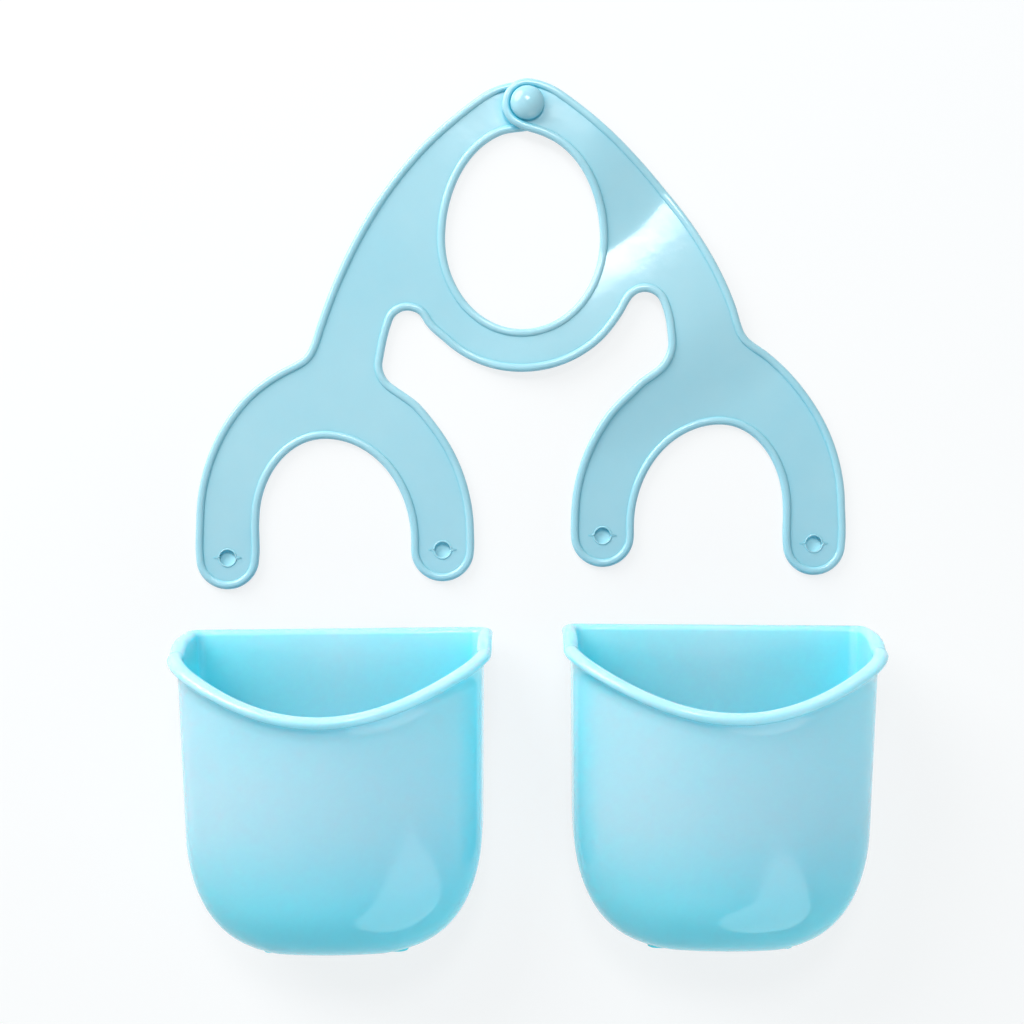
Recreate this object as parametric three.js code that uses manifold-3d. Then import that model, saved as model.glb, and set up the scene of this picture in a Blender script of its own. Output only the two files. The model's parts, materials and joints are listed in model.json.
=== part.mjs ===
// A hanging sink basket laid flat: a soft yoke with a snap-closed ring, and two half-round cups taken off it.
// Millimetres. +X is across the yoke, +Y runs from the cups to the ring, +Z is up from the table.
// The origin is on the yoke's back face, in the middle of the bridge below the ring.
import * as THREE from "three";
import { mergeVertices } from "three/addons/utils/BufferGeometryUtils.js";
import Module from "manifold-3d";

// Clearances
const seatGap = 0.3;
const hingeSlit = 0.4;
const holeClearance = 0.4;

// Strap section: a flat web with a rounded bead standing along every edge
const webThickness = 1.8;
const beadWidth = 2.5;
const beadCrown = 1.1;

// Ring: an egg-shaped hole over a bridge
const ringHoleWidth = 54;
const ringHoleLower = 31.6;
const ringHoleUpper = 37.7;
const tabInset = 1.3;
const bridgeWidth = 15;
const bridgeRadius = 40.4;

// Arms that close the ring, and the snap where they overlap
const buttonRise = 8.7;
const buttonOffset = 1.7;
const headMargin = 0.4;
const hiddenMargin = 0.6;
const armEndRadius = 26;
const armEndMeets = THREE.MathUtils.degToRad(81);
const leftArmEndOffset = new THREE.Vector2(-1.7, -17.5);
const armEdgeRadius = 160;
const tabLength = 30;
const tabHeading = THREE.MathUtils.degToRad(-39);
const hingeTurn = THREE.MathUtils.degToRad(42);
const tabRampEnd = 68;

// Leg: from the ring down to the fork
const legNotch = new THREE.Vector2(76.6, 1.7);
const legGap = 1.6;
const legLean = THREE.MathUtils.degToRad(12);
const notchRadius = 10.5;
const armpitRadius = 11;
const crotchRadius = 5.8;

// Fork: two arms with round ends, joined by an arch
const studSpacing = 75;
const forkCentreX = 65.4;
const armWidth = 22;
const innerTipY = -66.9;
const outerTipDrop = 2.8;
const archTopY = -28.2;
const archTopOffset = 3.6;
const archOuterRise = 28.8;
const archInnerRise = 35.8;
const outerShoulderRadius = 65.5;
const innerShoulderRadius = 62.5;
const outerShoulderY = -57;
const innerShoulderY = -61.5;

// How the soft strap lies: the right leg a little higher than the left, with its outer arm leaning in
const layRise = 2.5;
const layDrop = 2.2;
const layShift = 1.3;
const layLean = 1.3;

// Studs, their holes and the snap button
const studNeck = 5.2;
const studHead = 9.4;
const studHeadHeight = 2.4;
const studRoot = 1.2;
const slitLength = 9.4;
const slitWidth = 0.7;
const buttonHead = 11.8;
const buttonHeadHeight = 4.2;
const buttonFoot = 9;
const buttonFootHeight = 0.8;

// Cups: half-round, open at the top, with a rim that dips at the front
const cupHeight = 104.2;
const cupSideMargin = 12.8;
const cupDepth = 57;
const cupWall = 2;
const cupFloor = 2.2;
const cupSideTaper = 1.7;
const cupFrontTaper = 9;
const cupCornerRadius = 23;
const cupFrontBow = 10;
const cupBackCorner = 3;
const bottomFlatHalf = 23.5;
const bottomCornerRise = 39;
const bottomFrontRadius = 21;
const rimFlange = 2.9;
const rimDepth = 4;
const rimSideDrop = 6;
const rimFrontDrop = 20.6;
const lipCurve = 1.25;
const studBelowRim = 24;

// Feet and drain holes under each cup
const footWidth = 10;
const footLength = 23.5;
const footCorner = 3;
const footHeight = 0.8;
const footFromBack = 6;
const footSpacing = 38.5;
const drainHole = 3.6;
const drainPitch = 8;
const drainColumns = 4;
const drainRows = 2;

// Where the cups lie below their forks
const leftCupOffset = 2;
const rightCupOffset = 1.3;
const leftCupGap = 13.2;
const rightCupGap = 16.9;
const leftCupTurn = THREE.MathUtils.degToRad(0.6);
const rightCupTurn = THREE.MathUtils.degToRad(-0.4);

// Fineness of the facets
const smallArcStep = THREE.MathUtils.degToRad(15);
const longArcStep = THREE.MathUtils.degToRad(5);
const edgeArcStep = THREE.MathUtils.degToRad(2.5);
const roundSides = 20;

// Derived sizes of the strap
const strapThickness = webThickness + beadCrown;
const tipRadius = armWidth / 2;
const ringCentreY = bridgeWidth / 2 + ringHoleLower;
const bridgeCentre = new THREE.Vector2(0, bridgeRadius - bridgeWidth / 2);
const buttonCentre = new THREE.Vector2(buttonOffset, ringCentreY + ringHoleUpper + buttonRise);
const tabLift = strapThickness + seatGap;
const tabEndRadius = buttonHead / 2 + headMargin + beadWidth;
const tabEndCentre = new THREE.Vector2(Math.cos(armEndMeets), Math.sin(armEndMeets))
  .multiplyScalar(tabEndRadius - armEndRadius)
  .add(buttonCentre);
const buttonEndRadius = tabEndRadius - hiddenMargin;
const overrun = tabLength / 3;
const tabFlat = 1.2 * tabLength;
const outerTip = new THREE.Vector2(forkCentreX + studSpacing / 2, innerTipY - outerTipDrop);
const innerTip = new THREE.Vector2(forkCentreX - studSpacing / 2, innerTipY);
const hingeCentre = new THREE.Vector2(Math.cos(tabHeading), Math.sin(tabHeading))
  .multiplyScalar(tabLength)
  .add(buttonCentre);

// Derived sizes of the studs, the cups and their lie
const cupHalfWidth = studSpacing / 2 + cupSideMargin;
const cupSideDepth = cupDepth - cupCornerRadius - cupFrontBow;
const footMiddle = footFromBack + footLength / 2;
const studHole = studNeck + 2 * holeClearance;
const neckLength = webThickness + 2 * holeClearance;
const studReach = neckLength + studHeadHeight;
const studHeight = cupHeight - studBelowRim;
const cupLean = Math.atan2(studReach, studHeight);

const wasm = await Module();
wasm.setup();

// A closed three.js geometry as a solid that can be joined and cut
function solid(geometry, matrix = new THREE.Matrix4()) {
  const bare = new THREE.BufferGeometry();
  bare.setAttribute("position", geometry.getAttribute("position").clone());
  if (geometry.index) bare.setIndex(geometry.index.clone());
  bare.applyMatrix4(matrix);
  const merged = mergeVertices(bare, 1e-4);
  const made = new wasm.Manifold(
    new wasm.Mesh({
      numProp: 3,
      vertProperties: merged.attributes.position.array,
      triVerts: new Uint32Array(merged.index.array),
    }),
  );
  if (made.volume() > 0) return made;
  throw new Error("a solid is inside out");
}

function geometryOf(made) {
  const mesh = made.getMesh();
  const geometry = new THREE.BufferGeometry();
  geometry.setAttribute("position", new THREE.BufferAttribute(mesh.vertProperties, 3));
  geometry.setIndex(new THREE.BufferAttribute(mesh.triVerts, 1));
  return geometry;
}

// Points on an ellipse from one angle to another, both ends included
function arc(centre, from, to, step, across, along = across) {
  const count = Math.max(1, Math.ceil(Math.abs(to - from) / step));
  return Array.from({ length: count + 1 }, (_, i) => {
    const angle = from + ((to - from) * i) / count;
    return new THREE.Vector2(centre.x + across * Math.cos(angle), centre.y + along * Math.sin(angle));
  });
}

const angleFrom = (centre, point) => Math.atan2(point.y - centre.y, point.x - centre.x);

// The angle turned forwards (counterclockwise) or backwards to a given end
function onward(from, to, forwards) {
  const turn = 2 * Math.PI;
  if (forwards) return from + ((((to - from) % turn) + turn) % turn);
  return from - ((((from - to) % turn) + turn) % turn);
}

// An arc about a centre that starts and ends at two points on it
function arcBetween(centre, start, end, forwards, step) {
  const from = angleFrom(centre, start);
  const to = onward(from, angleFrom(centre, end), forwards);
  return arc(centre, from, to, step, centre.distanceTo(start));
}

// Where two circles cross; side 1 is left of the line from the first centre to the second, -1 right of it
function circlesCross(first, firstRadius, second, secondRadius, side) {
  const between = second.clone().sub(first);
  const distance = between.length();
  const ahead = (distance ** 2 + firstRadius ** 2 - secondRadius ** 2) / (2 * distance);
  const aside = Math.sqrt(firstRadius ** 2 - ahead ** 2);
  between.divideScalar(distance);
  return new THREE.Vector2(
    first.x + between.x * ahead - between.y * aside * side,
    first.y + between.y * ahead + between.x * aside * side,
  );
}

// Where a line crosses a circle; side 1 is the crossing further along the line, -1 the earlier one
function lineCrosses(point, direction, centre, radius, side) {
  const offset = point.clone().sub(centre);
  const half = offset.dot(direction);
  const along = side * Math.sqrt(half ** 2 - offset.lengthSq() + radius ** 2) - half;
  return direction.clone().multiplyScalar(along).add(point);
}

// The point of a circle that faces another point
const facing = (centre, radius, towards) =>
  towards.clone().sub(centre).setLength(radius).add(centre);

// The outer edge of the arm that closes the ring: a long arc, tangent to the arm's round end
function armEdge(endCentre) {
  const centre = circlesCross(endCentre, armEdgeRadius - armEndRadius, legNotch, armEdgeRadius, -1);
  return { centre, start: facing(centre, armEdgeRadius, endCentre) };
}

// One half of the outline, clockwise from the arm's round end down round the fork to the middle of the bridge
function halfOutline(endCentre) {
  const edge = armEdge(endCentre);
  const outerSide = outerTip.x + tipRadius;
  const innerSide = innerTip.x - tipRadius;
  const outerCentre = new THREE.Vector2(outerSide - outerShoulderRadius, outerShoulderY);
  const innerCentre = new THREE.Vector2(innerSide + innerShoulderRadius, innerShoulderY);
  const archX = forkCentreX + archTopOffset;

  const notchCentre = circlesCross(
    edge.centre, armEdgeRadius + notchRadius, outerCentre, outerShoulderRadius + notchRadius, 1,
  );
  const notchStart = facing(edge.centre, armEdgeRadius, notchCentre);
  const notchEnd = facing(outerCentre, outerShoulderRadius, notchCentre);

  const up = new THREE.Vector2(-Math.sin(legLean), Math.cos(legLean));
  const inwards = new THREE.Vector2(-up.y, up.x);
  const beside = (radius) => bridgeCentre.clone().addScaledVector(inwards, radius - bridgeRadius - legGap);
  const armpitCentre = lineCrosses(
    beside(armpitRadius), up, innerCentre, innerShoulderRadius + armpitRadius, 1,
  );
  const armpitStart = facing(innerCentre, innerShoulderRadius, armpitCentre);
  const armpitEnd = armpitCentre.clone().addScaledVector(inwards, -armpitRadius);
  const crotchCentre = lineCrosses(
    beside(crotchRadius), up, bridgeCentre, bridgeRadius + crotchRadius, -1,
  );
  const crotchStart = crotchCentre.clone().addScaledVector(inwards, -crotchRadius);
  const crotchEnd = facing(bridgeCentre, bridgeRadius, crotchCentre);

  const quarter = Math.PI / 2;
  return [
    ...arcBetween(edge.centre, edge.start, notchStart, false, edgeArcStep),
    ...arcBetween(notchCentre, notchStart, notchEnd, true, smallArcStep),
    ...arc(outerCentre, angleFrom(outerCentre, notchEnd), 0, longArcStep, outerShoulderRadius),
    ...arc(outerTip, 0, -2 * quarter, smallArcStep, tipRadius),
    ...arc(
      new THREE.Vector2(archX, archTopY - archOuterRise), 0, quarter, 2 * longArcStep,
      outerTip.x - tipRadius - archX, archOuterRise,
    ),
    ...arc(
      new THREE.Vector2(archX, archTopY - archInnerRise), quarter, 2 * quarter, 2 * longArcStep,
      archX - innerTip.x - tipRadius, archInnerRise,
    ),
    ...arc(innerTip, 0, -2 * quarter, smallArcStep, tipRadius),
    ...arc(innerCentre, 2 * quarter, angleFrom(innerCentre, armpitStart), longArcStep, innerShoulderRadius),
    ...arcBetween(armpitCentre, armpitStart, armpitEnd, true, smallArcStep),
    ...arcBetween(crotchCentre, crotchStart, crotchEnd, true, 1.5 * smallArcStep),
    ...arc(bridgeCentre, angleFrom(bridgeCentre, crotchEnd), -quarter, longArcStep, bridgeRadius),
  ];
}

const mirrored = (points) => points.map((p) => new THREE.Vector2(-p.x, p.y)).reverse();

// The ring hole's edge between two angles, counterclockwise
function holeEdge(from, to) {
  const centre = new THREE.Vector2(0, ringCentreY);
  return arc(centre, from, to, 1.5 * longArcStep, 1).map((p) => {
    const upper = ringHoleUpper - (p.x > 0 ? tabInset : 0);
    const reach = p.y > ringCentreY ? upper : ringHoleLower;
    return new THREE.Vector2((p.x * ringHoleWidth) / 2, ringCentreY + (p.y - ringCentreY) * reach);
  });
}

// The soft strap's lay: the legs shift a little, while the ring stays
function laid(point) {
  const { smoothstep } = THREE.MathUtils;
  const besideRing = smoothstep(Math.abs(point.x), ringHoleWidth / 2, bridgeRadius);
  const belowRing = smoothstep(-point.y, bridgeWidth / 2, 1.5 * bridgeWidth);
  const fall = 1 - smoothstep(point.y, 0, 2 * ringCentreY);
  const share = Math.max(besideRing, belowRing) * fall;
  const sway = share * smoothstep(point.y, -1.5 * bridgeWidth, bridgeWidth);
  const lean = layLean * smoothstep(point.x, forkCentreX, outerTip.x);
  const drop = layRise + layDrop * smoothstep(point.y, -bridgeWidth, bridgeWidth / 2);
  const rise = point.x > 0 ? layRise : -drop;
  return new THREE.Vector2(point.x + sway * layShift - share * lean, point.y + share * rise);
}

// How high the right arm's back stands off the table on its way over the left arm's end
function armLift(point) {
  const distance = point.distanceTo(buttonCentre);
  return tabLift * (1 - THREE.MathUtils.smoothstep(distance, tabFlat, tabRampEnd));
}

// Drops points that repeat, so that every side of an outline has a length
function distinct(points) {
  const least = 0.05;
  return points.filter((p, i) => p.distanceTo(points[(i + 1) % points.length]) > least);
}

// Triangles over a strip whose two sides start at the ends of the list, rung by rung as they leave the button
function rungTriangles(ring, rungs) {
  const beyond = (reach) => (p) => p.distanceTo(buttonCentre) > reach;
  const ends = rungs.map((reach) => [ring.findIndex(beyond(reach)), ring.findLastIndex(beyond(reach))]);
  const stops = [[0, ring.length - 1], ...ends];
  const faces = [];
  stops.forEach(([first, last], k) => {
    const [nextFirst, nextLast] = stops[k + 1] ?? [last, last + 1];
    const loop = [];
    for (let i = first; i <= nextFirst; i++) loop.push(i);
    for (let i = nextLast; i <= last; i++) loop.push(i);
    const corners = loop.map((i) => ring[i]);
    for (const face of THREE.ShapeUtils.triangulateShape(corners, [])) faces.push(face.map((i) => loop[i]));
  });
  return faces;
}

// A flat strip inside an outline, with a bead along its edge; lift raises it off the table, rung by rung
function beadedStrip(outline, lift, rungs = []) {
  const edge = distinct(outline);
  if (THREE.ShapeUtils.isClockWise(edge)) edge.reverse();
  const count = edge.length;
  const inwards = edge.map((p, i) => {
    const ahead = edge[(i + 1) % count].clone().sub(p).normalize();
    const behind = p.clone().sub(edge[(i + count - 1) % count]).normalize();
    const tangent = ahead.add(behind).normalize();
    return new THREE.Vector2(-tangent.y, tangent.x);
  });
  const beadSteps = 4;
  const profile = [[0, 0]];
  for (let k = 0; k <= beadSteps; k++) {
    const angle = (Math.PI * k) / beadSteps;
    profile.push([(beadWidth / 2) * (1 - Math.cos(angle)), webThickness + beadCrown * Math.sin(angle)]);
  }
  const rings = profile.map(([inset]) => edge.map((p, i) => p.clone().addScaledVector(inwards[i], inset)));
  const positions = rings.flatMap((ring, k) =>
    ring.flatMap((p, i) => [p.x, p.y, profile[k][1] + lift(edge[i])]),
  );
  const faces = [];
  for (let k = 0; k + 1 < rings.length; k++) {
    for (let i = 0; i < count; i++) {
      const here = k * count + i;
      const next = k * count + ((i + 1) % count);
      faces.push(here, next, next + count, here, next + count, here + count);
    }
  }
  const top = (rings.length - 1) * count;
  for (const [a, b, c] of rungTriangles(rings.at(-1), rungs)) faces.push(top + a, top + b, top + c);
  for (const [a, b, c] of rungTriangles(rings[0], rungs)) faces.push(a, c, b);
  const geometry = new THREE.BufferGeometry();
  geometry.setAttribute("position", new THREE.Float32BufferAttribute(positions, 3));
  geometry.setIndex(faces);
  return solid(geometry);
}

// A round bar along Z between two heights
function bar(diameter, low, high, centre) {
  const geometry = new THREE.CylinderGeometry(diameter / 2, diameter / 2, high - low, roundSides);
  const matrix = new THREE.Matrix4().makeTranslation(centre.x, centre.y, (low + high) / 2);
  return solid(geometry, matrix.multiply(new THREE.Matrix4().makeRotationX(Math.PI / 2)));
}

// A block whose one face lies on the hinge line; side 1 is towards the button, -1 away from it
function hingeBlock(side) {
  const length = tabLength / 2;
  const geometry = new THREE.BoxGeometry(2 * armWidth, length, 4 * tabLift + 2 * strapThickness);
  const matrix = new THREE.Matrix4()
    .makeTranslation(hingeCentre.x, hingeCentre.y, 0)
    .multiply(new THREE.Matrix4().makeRotationZ(hingeTurn))
    .multiply(new THREE.Matrix4().makeTranslation(0, (side * (length - hingeSlit)) / 2, 0));
  return solid(geometry, matrix);
}

// Angles on the ring hole where the arms' edges leave it, and on their round ends where they arrive
const armLeaves = THREE.MathUtils.degToRad(73);
const endMeets = THREE.MathUtils.degToRad(-112);

// The strap: both legs and forks, the bridge, the left arm with its round end, the right arm up to the tab
function strapSolid() {
  const right = halfOutline(tabEndCentre);
  const leftEnd = buttonCentre.clone().add(leftArmEndOffset);
  const left = mirrored(halfOutline(new THREE.Vector2(-leftEnd.x, leftEnd.y)));
  const shortened = right.filter((p) => p.distanceTo(buttonCentre) > tabLength - overrun);
  const hole = holeEdge(Math.PI - armLeaves, 2 * Math.PI + armLeaves);
  const holeToTab = hole.filter((p) => p.x < 0 || p.distanceTo(buttonCentre) > tabLength - overrun);
  const end = [
    ...arc(leftEnd, angleFrom(leftEnd, left.at(-1)), Math.PI / 2, longArcStep, armEndRadius),
    ...arc(buttonCentre, Math.PI / 2, -Math.PI - endMeets, smallArcStep, buttonEndRadius),
  ];
  const lift = (p) => (p.x > buttonCentre.x + buttonEndRadius ? armLift(p) : 0);
  const rungCount = 5;
  const rungStep = (tabRampEnd - tabLength) / rungCount;
  const rungs = Array.from({ length: rungCount }, (_, k) => tabLength + (k + 1) * rungStep);
  let made = beadedStrip([...shortened, ...left, ...end, ...holeToTab].map(laid), lift, rungs);
  made = made.subtract(hingeBlock(1));
  for (const side of [1, -1]) {
    for (const tip of [outerTip, innerTip]) {
      const centre = laid(new THREE.Vector2(side * tip.x, tip.y));
      made = made.subtract(bar(studHole, -strapThickness, 2 * strapThickness, centre));
      const slit = new THREE.BoxGeometry(slitLength, slitWidth, 4 * strapThickness);
      made = made.subtract(solid(slit, new THREE.Matrix4().makeTranslation(centre.x, centre.y, 0)));
    }
  }
  const neckHole = bar(studNeck + 2 * seatGap, -strapThickness, 2 * strapThickness, buttonCentre);
  const footSeat = bar(buttonFoot + 2 * seatGap, -strapThickness, buttonFootHeight + seatGap, buttonCentre);
  return made.subtract(neckHole).subtract(footSeat);
}

// The snap tab: the right arm's end, lifted over the left arm's end
function tabSolid() {
  const edge = armEdge(tabEndCentre);
  const reach = tabLength + overrun;
  const near = (p) => p.distanceTo(buttonCentre) < reach;
  const inner = holeEdge(0, armLeaves).filter(near);
  const end = [
    ...arc(buttonCentre, endMeets, onward(endMeets, armEndMeets, false), smallArcStep, tabEndRadius),
    ...arc(tabEndCentre, armEndMeets, angleFrom(tabEndCentre, edge.start), longArcStep, armEndRadius),
  ];
  const outer = arcBetween(edge.centre, edge.start, legNotch, false, edgeArcStep).filter(near);
  const made = beadedStrip([...inner, ...end, ...outer], armLift);
  const hole = bar(studHole, 0, tabLift + 2 * strapThickness, buttonCentre);
  return made.subtract(hingeBlock(-1)).subtract(hole);
}

// A turned piece about +Z from a profile of radius and height
function turned(profile) {
  const points = profile.map(([radius, height]) => new THREE.Vector2(radius, height));
  const geometry = new THREE.LatheGeometry(points, roundSides);
  return solid(geometry, new THREE.Matrix4().makeRotationX(Math.PI / 2));
}

// A dome's profile from its rim up to its crown, with a short straight edge below
function domeProfile(radius, base, height) {
  const steps = 5;
  const straight = height / 6;
  return Array.from({ length: steps + 1 }, (_, k) => {
    const angle = (Math.PI / 2) * (k / steps);
    const reach = k === steps ? 0 : radius * Math.cos(angle);
    return [reach, base + straight + (height - straight) * Math.sin(angle)];
  });
}

// The snap button: a flush foot, a neck through both arms, and a domed head on the tab
function buttonSolid() {
  const headBase = tabLift + webThickness + seatGap;
  return turned([
    [0, 0],
    [buttonFoot / 2, 0],
    [buttonFoot / 2, buttonFootHeight],
    [studNeck / 2, buttonFootHeight],
    [studNeck / 2, headBase],
    [buttonHead / 2, headBase],
    ...domeProfile(buttonHead / 2, headBase, buttonHeadHeight),
  ]);
}

// A mushroom stud: a root in a blind seat of the cup's back wall, a neck and a domed head behind it
function studSolid() {
  const root = seatGap - studRoot;
  return turned([
    [0, root],
    [studNeck / 2, root],
    [studNeck / 2, neckLength],
    [studHead / 2, neckLength],
    ...domeProfile(studHead / 2, neckLength, studHeadHeight),
  ]);
}

// The cup's plan: x across, y in depth, as shares of the half-width and the depth
function cupPlan() {
  const corner = new THREE.Vector2(cupHalfWidth - cupCornerRadius, cupSideDepth);
  const rise = cupCornerRadius + cupFrontBow;
  const bow = (corner.x ** 2 + rise ** 2 - cupCornerRadius ** 2) / (2 * cupFrontBow);
  const bowCentre = new THREE.Vector2(0, cupDepth - bow);
  const bowStart = angleFrom(bowCentre, corner);
  const back = new THREE.Vector2(cupHalfWidth - cupBackCorner, cupBackCorner);
  const half = [
    ...arc(back, -Math.PI / 2, 0, 2 * smallArcStep, cupBackCorner),
    new THREE.Vector2(cupHalfWidth, (cupBackCorner + cupSideDepth) / 2),
    ...arc(corner, 0, bowStart, smallArcStep, cupCornerRadius),
    ...arc(bowCentre, bowStart, Math.PI / 2, longArcStep, bow),
  ];
  const whole = distinct([...half, ...mirrored(half)]);
  return whole.map((p) => new THREE.Vector2(p.x / cupHalfWidth, p.y / cupDepth));
}

// A quarter-round swell from 0 at the base to 1 at the given rise
function swell(height, rise) {
  if (height >= rise) return 1;
  return Math.sqrt(1 - ((rise - height) / rise) ** 2);
}

// One ring of the cup: inset moves it inwards from the outer wall, base lifts it off the outer floor
function cupRing(plan, inset, base, heightAt) {
  return plan.map((share) => {
    const height = heightAt(share);
    const climb = height / cupHeight;
    const fullWidth = cupHalfWidth - cupSideTaper * (1 - climb) - inset;
    const fullDepth = cupDepth - cupFrontTaper * (1 - climb) - inset;
    const flat = bottomFlatHalf - Math.min(0, inset);
    const halfWidth = flat + (fullWidth - flat) * swell(height - base, bottomCornerRise - base);
    const flatDepth = fullDepth - bottomFrontRadius + base;
    const depth = flatDepth + (fullDepth - flatDepth) * swell(height - base, bottomFrontRadius - base);
    const back = Math.max(0, inset);
    return new THREE.Vector3(share.x * halfWidth, height, back + share.y * (depth - back));
  });
}

// The rim's height round the plan: level at the back, lower along the sides, dipping at the front
function rimHeight(share) {
  const depth = share.y * cupDepth;
  const alongSide = THREE.MathUtils.smoothstep(depth, 0, cupSideDepth);
  const onFront = depth < cupSideDepth ? 0 : Math.max(0, Math.cos((Math.PI / 2) * share.x));
  const dip = (rimFrontDrop - rimSideDrop) * onFront ** lipCurve;
  return cupHeight - rimSideDrop * alongSide - dip;
}

// Joins rings of equal length into a closed skin, with flat faces over the first and the last
function skin(rings) {
  const count = rings[0].length;
  const faces = [];
  for (let k = 0; k + 1 < rings.length; k++) {
    for (let i = 0; i < count; i++) {
      const here = k * count + i;
      const next = k * count + ((i + 1) % count);
      faces.push(here, next, next + count, here, next + count, here + count);
    }
  }
  const flat = (ring) => ring.map((p) => new THREE.Vector2(p.x, p.z));
  const last = (rings.length - 1) * count;
  for (const [a, b, c] of THREE.ShapeUtils.triangulateShape(flat(rings[0]), [])) faces.push(a, c, b);
  for (const [a, b, c] of THREE.ShapeUtils.triangulateShape(flat(rings.at(-1)), [])) {
    faces.push(last + a, last + b, last + c);
  }
  const geometry = new THREE.BufferGeometry();
  const positions = rings.flat().flatMap((p) => p.toArray());
  geometry.setAttribute("position", new THREE.Float32BufferAttribute(positions, 3));
  geometry.setIndex(faces);
  return geometry;
}

// A foot pad with rounded corners, sunk into the floor's thickness
function footSolid(x) {
  const halfWidth = footWidth / 2 - footCorner;
  const halfLength = footLength / 2 - footCorner;
  const signs = [[1, 1], [-1, 1], [-1, -1], [1, -1]];
  const outline = signs.flatMap(([signX, signY], k) => {
    const centre = new THREE.Vector2(signX * halfWidth, signY * halfLength);
    return arc(centre, (k * Math.PI) / 2, ((k + 1) * Math.PI) / 2, 2 * smallArcStep, footCorner);
  });
  const sunk = 0.6 * cupFloor;
  const settings = { depth: footHeight + sunk, bevelEnabled: false };
  const geometry = new THREE.ExtrudeGeometry(new THREE.Shape(outline), settings);
  const matrix = new THREE.Matrix4().makeTranslation(x, sunk, footMiddle);
  return solid(geometry, matrix.multiply(new THREE.Matrix4().makeRotationX(Math.PI / 2)));
}

// A cup standing on its floor: +X across, +Y up to its mouth, +Z from its flat back to its front
function cupSolid() {
  const plan = cupPlan();
  const cornerSteps = 8;
  const wallSteps = 3;
  const levels = (base, top) => {
    const low = Array.from({ length: cornerSteps + 1 }, (_, k) => {
      const height = base + (bottomCornerRise - base) * (1 - Math.cos((Math.PI / 2) * (k / cornerSteps)));
      return () => height;
    });
    const high = Array.from({ length: wallSteps }, (_, k) => (share) => {
      const end = rimHeight(share) - top;
      return bottomCornerRise + ((end - bottomCornerRise) * (k + 1)) / wallSteps;
    });
    return [...low, ...high];
  };
  const inner = levels(cupFloor, rimDepth / 4).map((height) => cupRing(plan, cupWall, cupFloor, height));
  const outer = levels(0, rimDepth).map((height) => cupRing(plan, 0, 0, height));
  const rimProfile = [
    [0.75 * cupWall, 0],
    [-0.35 * rimFlange, 0],
    [-0.85 * rimFlange, 0.18 * rimDepth],
    [-rimFlange, 0.45 * rimDepth],
    [-0.85 * rimFlange, 0.75 * rimDepth],
    [-0.45 * rimFlange, 0.95 * rimDepth],
  ];
  const rim = rimProfile.map(([inset, drop]) =>
    cupRing(plan, inset, 0, (share) => rimHeight(share) - drop),
  );
  let made = solid(skin([...inner, ...rim, ...outer.reverse()]));
  for (const side of [1, -1]) {
    made = made.add(footSolid((side * footSpacing) / 2));
    const seat = new THREE.Vector2((side * studSpacing) / 2, studHeight);
    made = made.subtract(bar(studNeck + 2 * seatGap, -cupWall, studRoot, seat));
  }
  for (let row = 0; row < drainRows; row++) {
    for (let column = 0; column < drainColumns; column++) {
      const x = (column - (drainColumns - 1) / 2) * drainPitch;
      const z = footMiddle + (row - (drainRows - 1) / 2) * drainPitch;
      const drill = new THREE.CylinderGeometry(drainHole / 2, drainHole / 2, 4 * cupFloor, roundSides / 2);
      made = made.subtract(solid(drill, new THREE.Matrix4().makeTranslation(x, 0, z)));
    }
  }
  return made;
}

// Finishes: a pale blue soft plastic for the strap, a harder and glossier one for the cups
const softPlastic = { color: 0x9fdcec, roughness: 0.38, metalness: 0 };
const hardPlastic = { color: 0x8fd6ec, roughness: 0.25, metalness: 0 };

function piece(name, made, finish) {
  const mesh = new THREE.Mesh(geometryOf(made), new THREE.MeshStandardMaterial(finish));
  mesh.name = name;
  return mesh;
}

// A cup lying on its stud heads and its lower back edge, with its two studs in its back wall;
// side 1 puts it below the right fork, -1 below the left, a gap away from the fork's lowest tip
function lyingCup(name, side, offset, gap, turn) {
  const cup = new THREE.Group();
  cup.add(piece(name, cupSolid(), hardPlastic));
  for (const [label, hand] of [["left", -1], ["right", 1]]) {
    const stud = piece(`${name}_stud_${label}`, studSolid(), hardPlastic);
    stud.position.set((hand * studSpacing) / 2, studHeight, 0);
    stud.rotation.x = Math.PI;
    cup.add(stud);
  }
  cup.rotation.x = cupLean;
  const laidCup = new THREE.Group();
  laidCup.add(cup);
  laidCup.rotation.z = turn;
  const tip = laid(new THREE.Vector2(side * outerTip.x, outerTip.y - tipRadius));
  const top = new THREE.Vector2(side * forkCentreX + offset, tip.y - gap);
  const bottom = top.clone().setY(top.y - cupHeight * Math.cos(cupLean)).rotateAround(top, turn);
  laidCup.position.set(bottom.x, bottom.y, 0);
  return laidCup;
}

const basket = new THREE.Group();
basket.add(piece("strap", strapSolid(), softPlastic));
basket.add(piece("snap_tab", tabSolid(), softPlastic));
const button = piece("snap_button", buttonSolid(), softPlastic);
button.position.set(buttonCentre.x, buttonCentre.y, 0);
basket.add(button);
basket.add(lyingCup("left_cup", -1, leftCupOffset, leftCupGap, leftCupTurn));
basket.add(lyingCup("right_cup", 1, rightCupOffset, rightCupGap, rightCupTurn));

export default basket;
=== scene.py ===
# %% [markdown]
# # A hanging sink basket, laid flat
# The set is a soft yoke with a ring that snaps shut round a tap, and two half-round cups that
# press onto the yoke's four arm tips. All of it is pale blue moulded plastic. The imported CAD model
# is the frame: it says where every solid is and how it moves. This script dresses that frame, so
# each visible piece is made again with finer surfaces, in the same place, and all but the snap arm
# ride on their bodies.

# %% Load the frame
import json
import math

import bmesh
import bpy
import numpy as np
from mathutils import Matrix, Vector
from mathutils.geometry import delaunay_2d_cdt


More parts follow.
